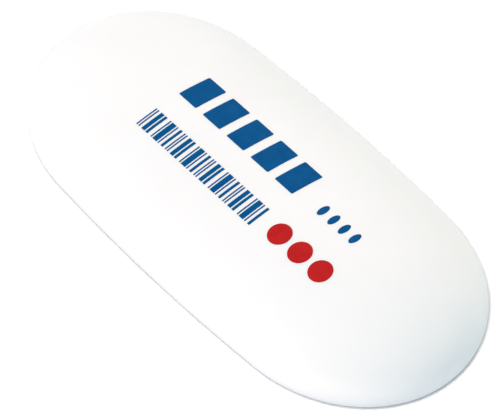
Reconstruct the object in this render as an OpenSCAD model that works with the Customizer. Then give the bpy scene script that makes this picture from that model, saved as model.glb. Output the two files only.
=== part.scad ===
// A white rubber eraser: one soft moulded bar, oval in plan, crowned on both
// faces and rounded all the way round its edge. All sizes are in millimetres.
// The origin is the middle of the face it rests on, the length runs along X
// and the thickness along Z.

/* [Plan outline] */
// Length from end to end
body_length = 60; // [48:0.5:72]
// Width across the middle
body_width = 28; // [22:0.5:34]
// Radius of the slight bow of the two long sides, before the stretch
side_bow_radius = 182; // [90:1:400]
// Lengthwise stretch of the outline: at 1 the ends are round, and above 1 they are drawn out
end_stretch = 1.13; // [1:0.01:1.25]

/* [Section] */
// Thickness from the resting face to the top of the crown
body_thickness = 12; // [9:0.5:18]
// Height of the widest line, where the two halves of the mould meet
rim_height = 6; // [4:0.25:8]
// Fullness of the upper half: 2 is a plain ellipse, more is flatter on top
upper_fullness = 2.1; // [2:0.05:4]
// Fullness of the lower half, on the same scale
lower_fullness = 2.1; // [2:0.05:4]
// Length of the level ridge in the middle of each crown
ridge_length = 28; // [0:1:36]
// Depth of the small flat on the lower crown that the bar rests on
rest_flat_depth = 0.15; // [0.05:0.01:0.6]

/* [Smoothness] */
// Facets round each end of the outline
end_facets = 36; // [16:2:48]
// Facets along each long side of the outline
side_facets = 14; // [6:2:20]
// Rings from the widest line to the middle of each face
face_rings = 16; // [8:1:20]

/* [Hidden] */
rubber_white = [0.97, 0.97, 0.955];
half_length = body_length / 2;
half_width = body_width / 2;
upper_rise = body_thickness - rim_height;
lower_drop = rim_height + rest_flat_depth;
// The outline is drawn this long from its middle, and then stretched
drawn_length = half_length / end_stretch;
// The end arc that runs smoothly into the two bowed sides
end_radius = (2 * side_bow_radius * half_width - pow(half_width, 2) - pow(drawn_length, 2))
    / (2 * (side_bow_radius - drawn_length));
end_centre = drawn_length - end_radius;
side_centre = side_bow_radius - half_width;
// Direction in which the end arcs and the side arcs meet, from the X axis
meeting_angle = atan2(side_centre, end_centre);
outline_points = 2 * (end_facets + side_facets);
// Share of the length that is left where the rings have closed in on the ridge
ridge_share = ridge_length / body_length;
// Room that the trimming block leaves round and above the bar
trim_room = 5;

// Points of the oval outline, anticlockwise, as four arcs that share their
// tangents: an end arc and a side arc, then the same two turned half way round.
// Each point is then moved out along the length by the stretch.
function stretched(point) = [point.x * end_stretch, point.y];
function arc(centre, radius, from, to, facets) = [
    for (step = [0 : facets - 1])
        let (angle = from + (to - from) * step / facets)
            stretched(centre + radius * [cos(angle), sin(angle)])
];
function half_outline() = concat(
    arc([end_centre, 0], end_radius, -meeting_angle, meeting_angle, end_facets),
    arc([0, -side_centre], side_bow_radius, meeting_angle, 180 - meeting_angle, side_facets)
);
function outline() = concat(half_outline(), [for (point = half_outline()) -point]);

// Section from the widest line to the middle of a face. At each stage it gives
// the shares of the width and the length that the ring keeps, and the share of
// the rise. The length closes in on the ridge while the width closes in on nothing.
function kept_width(stage, fullness) = pow(cos(90 * stage / face_rings), 2 / fullness);
function kept_length(stage, fullness) =
    ridge_share + (1 - ridge_share) * kept_width(stage, fullness);
function reached_height(stage, fullness) = pow(sin(90 * stage / face_rings), 2 / fullness);
function ring(stage, rise, fullness) = [
    for (point = outline())
        [
            point.x * kept_length(stage, fullness),
            point.y * kept_width(stage, fullness),
            rim_height + rise * reached_height(stage, fullness)
        ]
];

// Rings from just over the lower middle, through the widest line, to just
// under the upper middle, each drawn from the same outline.
function lower_rings() = [
    for (stage = [face_rings - 1 : -1 : 1])
        each ring(stage, -lower_drop, lower_fullness)
];
function upper_rings() = [
    for (stage = [0 : face_rings - 1])
        each ring(stage, upper_rise, upper_fullness)
];

// Four-sided faces between neighbouring rings, and a fan at each middle
function band_faces(bands) = [
    for (band = [0 : bands - 1], side = [0 : outline_points - 1])
        let (next = (side + 1) % outline_points, low = band * outline_points)
            each [
                [low + side, low + outline_points + side, low + outline_points + next],
                [low + side, low + outline_points + next, low + next]
            ]
];
function fan_faces(first, middle, upper) = [
    for (side = [0 : outline_points - 1])
        let (next = (side + 1) % outline_points)
            upper ? [first + next, first + side, middle] : [first + side, first + next, middle]
];

module moulded_form() {
    ring_count = 2 * face_rings - 1;
    ring_points = ring_count * outline_points;
    polyhedron(
        points = concat(
            lower_rings(),
            upper_rings(),
            [[0, 0, rim_height - lower_drop], [0, 0, body_thickness]]
        ),
        faces = concat(
            fan_faces(0, ring_points, false),
            band_faces(ring_count - 1),
            fan_faces(ring_points - outline_points, ring_points + 1, true)
        )
    );
}

// Everything above the plane that the bar rests on
module above_rest_plane() {
    translate([-half_length - trim_room, -half_width - trim_room, 0])
        cube([
            body_length + 2 * trim_room,
            body_width + 2 * trim_room,
            body_thickness + trim_room
        ]);
}

module eraser_body() {
    color(rubber_white)
        intersection() {
            moulded_form();
            above_rest_plane();
        }
}

eraser_body();
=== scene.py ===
"""Looks of a white rubber eraser: a soft moulded oval bar with plain blue and red print on its crown."""

import math

import bmesh
import bpy
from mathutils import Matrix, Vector


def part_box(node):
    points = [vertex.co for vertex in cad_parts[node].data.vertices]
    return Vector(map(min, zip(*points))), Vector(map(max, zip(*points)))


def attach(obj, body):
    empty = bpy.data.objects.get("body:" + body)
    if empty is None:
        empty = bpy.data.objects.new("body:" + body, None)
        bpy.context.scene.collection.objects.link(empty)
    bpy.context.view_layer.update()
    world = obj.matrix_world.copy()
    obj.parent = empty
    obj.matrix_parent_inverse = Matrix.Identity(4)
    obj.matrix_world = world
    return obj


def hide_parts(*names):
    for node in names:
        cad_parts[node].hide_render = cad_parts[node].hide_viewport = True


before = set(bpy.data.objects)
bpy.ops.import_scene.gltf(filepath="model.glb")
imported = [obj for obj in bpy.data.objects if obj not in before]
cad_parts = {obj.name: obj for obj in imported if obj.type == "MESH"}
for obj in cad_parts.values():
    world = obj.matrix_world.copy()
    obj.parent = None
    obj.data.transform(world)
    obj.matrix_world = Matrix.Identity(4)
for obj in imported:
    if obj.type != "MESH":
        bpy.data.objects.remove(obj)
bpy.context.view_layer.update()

MM = 0.001

# The bar: its sizes come from the solid's box, its outline and section from the same rules
BODY_LOW, BODY_HIGH = (Vector(corner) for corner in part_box("eraser_body"))
HALF_LENGTH = (BODY_HIGH.x - BODY_LOW.x) / 2
HALF_WIDTH = (BODY_HIGH.y - BODY_LOW.y) / 2
THICKNESS = BODY_HIGH.z - BODY_LOW.z
SIDE_BOW_RADIUS = 182 * MM
END_STRETCH = 1.13
RIM_HEIGHT = 6 * MM
FULLNESS = 2.1
RIDGE_SHARE = 28 * MM / (2 * HALF_LENGTH)
REST_FLAT_DEPTH = 0.15 * MM
END_STEPS = 48
SIDE_STEPS = 20
FACE_RINGS = 26
WELD_DISTANCE = 0.001 * MM

# The printed ink stands this far proud, so the crown under it stays that much lower
INK_PROUD = 0.02 * MM
# The ink is cut in cells of about this size, so that it bends over the crown
INK_CELL = 0.5 * MM
# Its edges stay crisp where they turn by more than this
INK_EDGE_ANGLE = math.radians(30)
# Each mark starts as a flat shape this far over the crown
MARK_ROOM = 1 * MM

# The print, from the lower left corner of its field
FIELD_LEFT = -12.3 * MM
FIELD_LOW = -5.35 * MM
BLOCK_COUNT = 5
BLOCK_PITCH = 3.8 * MM
BLOCK_WIDTH = 2.9 * MM
BLOCK_HEIGHT = 4.0 * MM
BLOCK_LOW = 5.75 * MM
BLOCK_SLANT = 0.2 * MM
BLOCK_CORNER = 0.15 * MM
BLOCK_CORNER_STEPS = 3
STRIPE_HEIGHT = 2.75 * MM
STRIPE_UNIT = 0.163 * MM
STRIPE_GROUPS = 4
# Each stripe in a group and the bare gap after it, in units
STRIPES_IN_GROUP = ((1, 1), (1, 2), (3, 1), (2, 3), (1, 1), (4, 1), (1, 2), (2, 2))
DISC_SIDES = 48
DISC_COUNT = 3
DISC_FIRST = (20.95 * MM, 1.5 * MM)
DISC_PITCH = 3.1 * MM
DISC_RADII = (1.25 * MM, 1.35 * MM)
DOT_COUNT = 4
DOT_FIRST = (21.6 * MM, 6.75 * MM)
DOT_PITCH = 1.6 * MM
DOT_RADII = (0.4 * MM, 0.82 * MM)

# The middle part of a cloudy pattern, which nearly all of its values fall in
PATTERN_LOW = 0.3
PATTERN_HIGH = 0.7

# The rubber's patterns, each with the size of its spots and how finely it breaks up
CLOUDS = (11 * MM, 3)
SWELL = (7 * MM, 1)
GLOSS_PATCHES = (2.2 * MM, 3)
RUBBER_GRAIN = (0.28 * MM, 3)
GRAIN_IN_TINT = 0.25
GRAIN_IN_GLOSS = 0.4
SWELL_DEPTH = 0.012 * MM
RUBBER_GRAIN_DEPTH = 0.0016 * MM
WHITE_WARM = (0.868, 0.862, 0.842)
WHITE_LIGHT = (0.892, 0.889, 0.874)
RUBBER_ROUGHNESS = (0.43, 0.56)
# A weak gloss, a little light let in under the skin, and a powdery bloom
RUBBER_SOCKETS = {
    "Specular IOR Level": 0.4,
    "Subsurface Weight": 0.25,
    "Subsurface Radius": (1.0, 0.93, 0.85),
    "Subsurface Scale": 1.1 * MM,
    "Sheen Weight": 0.08,
    "Sheen Roughness": 0.4,
    "Sheen Tint": (0.93, 0.97, 1.0, 1),
}

# The two inks, where the coat is thin and where it is full
BLUE_THIN = (0.0, 0.093, 0.268)
BLUE_FULL = (0.0, 0.075, 0.222)
RED_THIN = (0.53, 0.018, 0.019)
RED_FULL = (0.44, 0.012, 0.013)
INK_COAT = (1.3 * MM, 3)
INK_GRAIN = (0.16 * MM, 2)
GRAIN_IN_INK = 0.4
INK_GRAIN_DEPTH = 0.0015 * MM
INK_ROUGHNESS = (0.38, 0.52)
INK_GLOSS = 0.02

# The camera: a long lens, looking down on one end of the bar
FRAME_WIDTH_PX = 500
FRAME_HEIGHT_PX = 420
VIEW_AZIMUTH = math.radians(49.51)
VIEW_ELEVATION = math.radians(50.27)
VIEW_DISTANCE = 385 * MM
PX_PER_MM = 9.68
BAR_CENTRE_PX = (253.0, 201.5)
SENSOR_WIDTH = 36.0
NEAREST_SEEN = 10 * MM
FARTHEST_SEEN = 20

# The floor, in metres: the part that is seen, a little warm so that its shade stays grey
# in the cool light, and the part that throws light up at the bar
FLOOR_SIZE = 3.0
FLOOR_WHITE = (0.5, 0.46, 0.43)
FLOOR_GLOW = 0.1
FLOOR_ROUGHNESS = 0.9
BOUNCE_WHITE = (0.7, 0.78, 0.85)

# The light: a cool white tent and four lamps, each with its bearing and height in degrees,
# its size in metres, its power in watts and its colour
TENT_COLOUR = (0.613, 0.734, 0.804)
TENT_STRENGTH = 1.0
LAMP_DISTANCE = 1.0
LAMPS = (
    ("front lamp", 250, 30, 0.3, 4.0, (1.0, 0.75, 0.66)),
    ("low front lamp", 290, 5, 0.2, 2.2, (1.0, 0.78, 0.66)),
    ("far lamp", 129, 45, 0.3, 2.86, (1.0, 0.735, 0.675)),
    ("back lamp", 90, 20, 0.5, 1.65, (1.0, 0.65, 0.15)),
)
# The lens lamp, a little cool, so that it whitens the warm floor: its place is counted
# from the lens, to the right, up and back
LENS_LAMP_COLOUR = (0.886, 0.946, 1.0)
LENS_LAMP_SIZE = 28 * MM
LENS_LAMP_POWER = 2.77
LENS_LAMP_OFFSET = (-6.5 * MM, 14 * MM, -25 * MM)


def only(obj):
    """Makes obj the one selected and active object."""
    bpy.ops.object.select_all(action="DESELECT")
    obj.select_set(True)
    bpy.context.view_layer.objects.active = obj


def start_piece(name):
    """Names the primitive that was just added, puts its place in its mesh and opens it for editing."""
    piece = bpy.context.object
    piece.name = piece.data.name = name
    only(piece)
    bpy.ops.object.transform_apply(location=True, rotation=True, scale=True)
    bpy.ops.object.mode_set(mode="EDIT")
    return piece


def finish_editing(piece):
    bpy.ops.object.mode_set(mode="OBJECT")
    only(piece)


def select_where(piece, test):
    """Selects, in edit mode, the vertices that pass the test, and the edges and faces between them."""
    bpy.ops.mesh.select_mode(type="VERT")
    bpy.ops.mesh.select_all(action="DESELECT")
    mesh = bmesh.from_edit_mesh(piece.data)
    for vertex in mesh.verts:
        vertex.select = test(vertex.co)
    mesh.select_flush(True)
    bmesh.update_edit_mesh(piece.data)


def apply_modifiers(piece):
    only(piece)
    for modifier in list(piece.modifiers):
        bpy.ops.object.modifier_apply(modifier=modifier.name)


def add_camera():
    """A long lens at the viewing angle. The bar's centre falls a little off the middle of the frame."""
    right = Vector((math.cos(VIEW_AZIMUTH), math.sin(VIEW_AZIMUTH), 0))
    back = Vector((
        math.sin(VIEW_AZIMUTH) * math.cos(VIEW_ELEVATION),
        -math.cos(VIEW_AZIMUTH) * math.cos(VIEW_ELEVATION),
        math.sin(VIEW_ELEVATION),
    ))
    up = back.cross(right)
    off_right = (BAR_CENTRE_PX[0] - FRAME_WIDTH_PX / 2) / PX_PER_MM * MM
    off_down = (BAR_CENTRE_PX[1] - FRAME_HEIGHT_PX / 2) / PX_PER_MM * MM
    target = Vector((0, 0, THICKNESS / 2)) - right * off_right + up * off_down
    data = bpy.data.cameras.new("camera")
    data.sensor_width = SENSOR_WIDTH
    data.lens = PX_PER_MM * (VIEW_DISTANCE / MM) / FRAME_WIDTH_PX * SENSOR_WIDTH
    data.clip_start = NEAREST_SEEN
    data.clip_end = FARTHEST_SEEN
    camera = bpy.data.objects.new("camera", data)
    bpy.context.collection.objects.link(camera)
    camera.location = target + back * VIEW_DISTANCE
    camera.rotation_euler = back.to_track_quat("Z", "Y").to_euler()
    bpy.context.scene.camera = camera


def spin_arc(centre, angle, steps):
    """Draws on from the selected vertex, anticlockwise about the centre."""
    bpy.ops.mesh.spin(steps=steps, angle=-angle, center=(*centre, RIM_HEIGHT), axis=(0, 0, 1))


def draw_outline():
    """The oval outline: four arcs that share their tangents, stretched along the bar's length."""
    drawn_length = HALF_LENGTH / END_STRETCH
    end_radius = (2 * SIDE_BOW_RADIUS * HALF_WIDTH - HALF_WIDTH ** 2 - drawn_length ** 2) / (
        2 * (SIDE_BOW_RADIUS - drawn_length)
    )
    end_centre = drawn_length - end_radius
    side_centre = SIDE_BOW_RADIUS - HALF_WIDTH
    meeting = math.atan2(side_centre, end_centre)
    bow = math.pi - 2 * meeting
    start = (end_centre + end_radius * math.cos(meeting), -end_radius * math.sin(meeting), RIM_HEIGHT)
    bpy.ops.mesh.primitive_plane_add(size=MM, location=start)
    bar = start_piece("eraser_bar")
    bpy.ops.mesh.select_all(action="SELECT")
    bpy.ops.mesh.merge(type="CENTER")
    spin_arc((end_centre, 0), 2 * meeting, END_STEPS)
    spin_arc((0, -side_centre), bow, SIDE_STEPS)
    spin_arc((-end_centre, 0), 2 * meeting, END_STEPS)
    spin_arc((0, side_centre), bow, SIDE_STEPS)
    bpy.ops.mesh.select_all(action="SELECT")
    bpy.ops.mesh.remove_doubles(threshold=WELD_DISTANCE)
    bpy.ops.transform.resize(value=(END_STRETCH, 1, 1), center_override=(0, 0, 0))
    return bar


def draw_rings(rise):
    """Extrudes the widest line, ring by ring, along the section, until it closes on the level ridge.

    No ring goes lower than the plane that the bar rests on.
    """
    width, length, height = 1.0, 1.0, RIM_HEIGHT
    for stage in range(1, FACE_RINGS + 1):
        turn = math.pi / 2 * stage / FACE_RINGS
        next_width = math.cos(turn) ** (2 / FULLNESS) if stage < FACE_RINGS else 0.0
        next_length = RIDGE_SHARE + (1 - RIDGE_SHARE) * next_width
        next_height = max(RIM_HEIGHT + rise * math.sin(turn) ** (2 / FULLNESS), 0)
        bpy.ops.mesh.extrude_region_move(TRANSFORM_OT_translate={"value": (0, 0, next_height - height)})
        bpy.ops.transform.resize(
            value=(next_length / length, next_width / width, 1),
            center_override=(0, 0, 0),
        )
        width, length, height = next_width, next_length, next_height
    bpy.ops.mesh.remove_doubles(threshold=WELD_DISTANCE)


def make_bar():
    """The moulded bar, with the same rings over and under its widest line and a small flat to rest on."""
    bar = draw_outline()
    draw_rings(THICKNESS - RIM_HEIGHT - INK_PROUD)
    select_where(bar, lambda place: abs(place.z - RIM_HEIGHT) < WELD_DISTANCE)
    draw_rings(-(RIM_HEIGHT + REST_FLAT_DEPTH))
    bpy.ops.mesh.select_all(action="SELECT")
    bpy.ops.mesh.normals_make_consistent(inside=False)
    finish_editing(bar)
    skin = bar.modifiers.new("smooth skin", "SUBSURF")
    skin.levels = skin.render_levels = 1
    apply_modifiers(bar)
    bpy.ops.object.shade_smooth()
    return bar


def lay_on_crown(mark, bar):
    """Projects a flat mark down on the crown and gives the ink its thickness."""
    wrap = mark.modifiers.new("lie on crown", "SHRINKWRAP")
    wrap.wrap_method = "PROJECT"
    wrap.use_project_z = True
    wrap.use_negative_direction = True
    wrap.use_positive_direction = False
    wrap.target = bar
    wrap.offset = 0
    skin = mark.modifiers.new("ink", "SOLIDIFY")
    skin.thickness = 2 * INK_PROUD
    skin.offset = 0
    apply_modifiers(mark)
    bpy.ops.object.shade_smooth_by_angle(angle=INK_EDGE_ANGLE)


def start_mark(name, x, y, size_x, size_y):
    """A flat rectangle over the crown, from its lower left corner in the print field."""
    bpy.ops.mesh.primitive_plane_add(
        size=1,
        location=(FIELD_LEFT + x + size_x / 2, FIELD_LOW + y + size_y / 2, THICKNESS + MARK_ROOM),
    )
    bpy.context.object.scale = (size_x, size_y, 1)
    return start_piece(name)


def bisect_in_cells(axis, low, high):
    """Cuts the open mesh at even steps along one axis."""
    cuts = max(1, round((high - low) / INK_CELL))
    for cut in range(1, cuts):
        place = [0, 0, 0]
        place[axis] = low + (high - low) * cut / cuts
        normal = [0, 0, 0]
        normal[axis] = 1
        bpy.ops.mesh.select_all(action="SELECT")
        bpy.ops.mesh.bisect(plane_co=place, plane_no=normal)


def cut_in_cells(piece):
    places = [vertex.co.copy() for vertex in bmesh.from_edit_mesh(piece.data).verts]
    for axis in (0, 1):
        low = min(place[axis] for place in places)
        high = max(place[axis] for place in places)
        bisect_in_cells(axis, low, high)


def join(pieces, name):
    """Joins several marks into one piece."""
    bpy.ops.object.select_all(action="DESELECT")
    for piece in pieces:
        piece.select_set(True)
    bpy.context.view_layer.objects.active = pieces[0]
    bpy.ops.object.join()
    pieces[0].name = pieces[0].data.name = name
    return pieces[0]


def make_blocks(bar):
    """A row of bold blocks with a slight slant and slightly rounded corners."""
    blocks = []
    middle = FIELD_LOW + BLOCK_LOW + BLOCK_HEIGHT / 2
    for number in range(BLOCK_COUNT):
        left = number * BLOCK_PITCH
        block = start_mark("block", left, BLOCK_LOW, BLOCK_WIDTH - BLOCK_SLANT, BLOCK_HEIGHT)
        select_where(block, lambda place: place.y > middle)
        bpy.ops.transform.translate(value=(BLOCK_SLANT, 0, 0))
        bpy.ops.mesh.select_all(action="SELECT")
        bpy.ops.mesh.bevel(offset=BLOCK_CORNER, segments=BLOCK_CORNER_STEPS, affect="VERTICES")
        cut_in_cells(block)
        finish_editing(block)
        blocks.append(block)
    piece = join(blocks, "blue_blocks")
    lay_on_crown(piece, bar)
    return piece


def make_stripes(bar):
    """A field of upright stripes that repeats one rhythm of wide and narrow."""
    stripes = []
    place = 0
    for stripe_width, gap in STRIPES_IN_GROUP * STRIPE_GROUPS:
        stripe = start_mark("stripe", place * STRIPE_UNIT, 0, stripe_width * STRIPE_UNIT, STRIPE_HEIGHT)
        cut_in_cells(stripe)
        finish_editing(stripe)
        stripes.append(stripe)
        place += stripe_width + gap
    piece = join(stripes, "blue_stripes")
    lay_on_crown(piece, bar)
    return piece


def make_discs(name, count, first, pitch, radii, bar):
    """A row of small round or oval discs of one colour."""
    discs = []
    for number in range(count):
        bpy.ops.mesh.primitive_circle_add(
            vertices=DISC_SIDES,
            radius=1,
            fill_type="NGON",
            location=(
                FIELD_LEFT + first[0] + number * pitch,
                FIELD_LOW + first[1],
                THICKNESS + MARK_ROOM,
            ),
        )
        bpy.context.object.scale = (*radii, 1)
        disc = start_piece("disc")
        cut_in_cells(disc)
        finish_editing(disc)
        discs.append(disc)
    piece = join(discs, name)
    lay_on_crown(piece, bar)
    return piece


def new_material(name):
    material = bpy.data.materials.new(name)
    material.use_nodes = True
    return material, material.node_tree.nodes["Principled BSDF"].inputs


def add_pattern(material, spot_size, detail):
    """A cloudy pattern on the object's own coordinates, with spots of about the given size."""
    nodes, links = material.node_tree.nodes, material.node_tree.links
    place = nodes.new("ShaderNodeTexCoord")
    pattern = nodes.new("ShaderNodeTexNoise")
    pattern.inputs["Scale"].default_value = 1 / spot_size
    pattern.inputs["Detail"].default_value = detail
    links.new(place.outputs["Object"], pattern.inputs["Vector"])
    return pattern.outputs[0]


def spread(material, pattern, low, high):
    """Turns a pattern into values between low and high."""
    nodes, links = material.node_tree.nodes, material.node_tree.links
    ramp = nodes.new("ShaderNodeMapRange")
    ramp.inputs["From Min"].default_value = PATTERN_LOW
    ramp.inputs["From Max"].default_value = PATTERN_HIGH
    ramp.inputs["To Min"].default_value = low
    ramp.inputs["To Max"].default_value = high
    links.new(pattern, ramp.inputs["Value"])
    return ramp.outputs["Result"]


def blend(material, pattern, first, second):
    """Goes from the first colour to the second along a pattern."""
    nodes, links = material.node_tree.nodes, material.node_tree.links
    ramp = nodes.new("ShaderNodeValToRGB")
    stops = ramp.color_ramp.elements
    stops[0].position, stops[1].position = PATTERN_LOW, PATTERN_HIGH
    stops[0].color, stops[1].color = (*first, 1), (*second, 1)
    links.new(pattern, ramp.inputs["Fac"])
    return ramp.outputs["Color"]


def mix_patterns(material, broad, fine, fine_share):
    """One pattern made of two, the fine one taking the given share."""
    nodes, links = material.node_tree.nodes, material.node_tree.links
    both = nodes.new("ShaderNodeMix")
    both.inputs["Factor"].default_value = fine_share
    links.new(broad, both.inputs["A"])
    links.new(fine, both.inputs["B"])
    return both.outputs["Result"]


def add_relief(material, pattern, depth, under=None):
    """Raises and sinks the skin along a pattern, by about the given depth, on top of another relief."""
    nodes, links = material.node_tree.nodes, material.node_tree.links
    relief = nodes.new("ShaderNodeBump")
    relief.inputs["Distance"].default_value = depth
    links.new(pattern, relief.inputs["Height"])
    if under:
        links.new(under, relief.inputs["Normal"])
    return relief.outputs["Normal"]


def white_rubber_material():
    """Smooth moulded white rubber: faint clouds of warmer white, a satin skin and a powdery bloom."""
    material, inputs = new_material("soft white rubber")
    links = material.node_tree.links
    clouds = add_pattern(material, *CLOUDS)
    swell = add_pattern(material, *SWELL)
    patches = add_pattern(material, *GLOSS_PATCHES)
    grain = add_pattern(material, *RUBBER_GRAIN)
    tint = mix_patterns(material, clouds, grain, GRAIN_IN_TINT)
    links.new(blend(material, tint, WHITE_WARM, WHITE_LIGHT), inputs["Base Color"])
    gloss = mix_patterns(material, patches, grain, GRAIN_IN_GLOSS)
    links.new(spread(material, gloss, *RUBBER_ROUGHNESS), inputs["Roughness"])
    relief = add_relief(material, swell, SWELL_DEPTH)
    links.new(add_relief(material, grain, RUBBER_GRAIN_DEPTH, relief), inputs["Normal"])
    for socket, value in RUBBER_SOCKETS.items():
        inputs[socket].default_value = value
    return material


def ink_material(name, thin_colour, full_colour):
    """Pad-printed ink: a thin coat, a little uneven in colour and gloss, with a very fine grain."""
    material, inputs = new_material(name)
    links = material.node_tree.links
    coat = add_pattern(material, *INK_COAT)
    grain = add_pattern(material, *INK_GRAIN)
    tint = mix_patterns(material, coat, grain, GRAIN_IN_INK)
    links.new(blend(material, tint, thin_colour, full_colour), inputs["Base Color"])
    links.new(spread(material, tint, *INK_ROUGHNESS), inputs["Roughness"])
    links.new(add_relief(material, grain, INK_GRAIN_DEPTH), inputs["Normal"])
    inputs["Specular IOR Level"].default_value = INK_GLOSS
    return material


def dress(piece, material):
    piece.data.materials.clear()
    piece.data.materials.append(material)
    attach(piece, "root")


def add_plane(name, colour, glow):
    """A plain matt plane that the bar lies on."""
    bpy.ops.mesh.primitive_plane_add(size=FLOOR_SIZE, location=(0, 0, 0))
    plane = bpy.context.object
    plane.name = plane.data.name = name
    material, inputs = new_material(name)
    inputs["Base Color"].default_value = (*colour, 1)
    inputs["Emission Color"].default_value = (1, 1, 1, 1)
    inputs["Emission Strength"].default_value = glow
    inputs["Roughness"].default_value = FLOOR_ROUGHNESS
    inputs["Specular IOR Level"].default_value = 0
    plane.data.materials.append(material)
    plane.visible_shadow = False
    return plane


def add_floor():
    """The floor in two parts: one is seen and takes the shadow, the other lights the bar from below."""
    floor = add_plane("floor", FLOOR_WHITE, FLOOR_GLOW)
    floor.visible_diffuse = False
    floor.visible_glossy = False
    bounce = add_plane("bounce_floor", BOUNCE_WHITE, 0)
    bounce.visible_camera = False
    return floor


def add_lamp(name, bearing, height, size, power, colour):
    """A soft round lamp aimed at the bar. From above, its bearing turns anticlockwise from +X."""
    data = bpy.data.lights.new(name, "AREA")
    data.shape = "DISK"
    data.size = size
    data.energy = power
    data.color = colour
    lamp = bpy.data.objects.new(name, data)
    bpy.context.collection.objects.link(lamp)
    aim = Vector((
        math.cos(math.radians(height)) * math.cos(math.radians(bearing)),
        math.cos(math.radians(height)) * math.sin(math.radians(bearing)),
        math.sin(math.radians(height)),
    ))
    lamp.location = aim * LAMP_DISTANCE
    lamp.rotation_euler = aim.to_track_quat("Z", "Y").to_euler()


def add_lens_lamp(floor):
    """A small lamp just over the lens, for the seen floor alone.

    It whitens the floor and leaves a thin line of shade along the bar's near edge.
    """
    camera = bpy.context.scene.camera
    data = bpy.data.lights.new("lens lamp", "AREA")
    data.shape = "DISK"
    data.size = LENS_LAMP_SIZE
    data.energy = LENS_LAMP_POWER
    data.color = LENS_LAMP_COLOUR
    lamp = bpy.data.objects.new("lens lamp", data)
    bpy.context.collection.objects.link(lamp)
    lamp.location = camera.location + camera.rotation_euler.to_matrix() @ Vector(LENS_LAMP_OFFSET)
    lamp.rotation_euler = lamp.location.to_track_quat("Z", "Y").to_euler()
    lit = bpy.data.collections.new("lit by the lens lamp")
    lit.objects.link(floor)
    lamp.light_linking.receiver_collection = lit


def add_light():
    """A cool white tent all round, with soft lamps in front of the bar and behind it."""
    world = bpy.data.worlds.new("white tent")
    bpy.context.scene.world = world
    world.use_nodes = True
    background = world.node_tree.nodes["Background"]
    background.inputs["Color"].default_value = (*TENT_COLOUR, 1)
    background.inputs["Strength"].default_value = TENT_STRENGTH
    for lamp in LAMPS:
        add_lamp(*lamp)


add_camera()
bar = make_bar()
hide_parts("eraser_body")
rubber = white_rubber_material()
blue_ink = ink_material("blue ink", BLUE_THIN, BLUE_FULL)
red_ink = ink_material("red ink", RED_THIN, RED_FULL)
dress(bar, rubber)
dress(make_blocks(bar), blue_ink)
dress(make_stripes(bar), blue_ink)
dress(make_discs("red_discs", DISC_COUNT, DISC_FIRST, DISC_PITCH, DISC_RADII, bar), red_ink)
dress(make_discs("blue_dots", DOT_COUNT, DOT_FIRST, DOT_PITCH, DOT_RADII, bar), blue_ink)
floor = add_floor()
add_lens_lamp(floor)
add_light()
bpy.context.scene.view_settings.view_transform = "Standard"
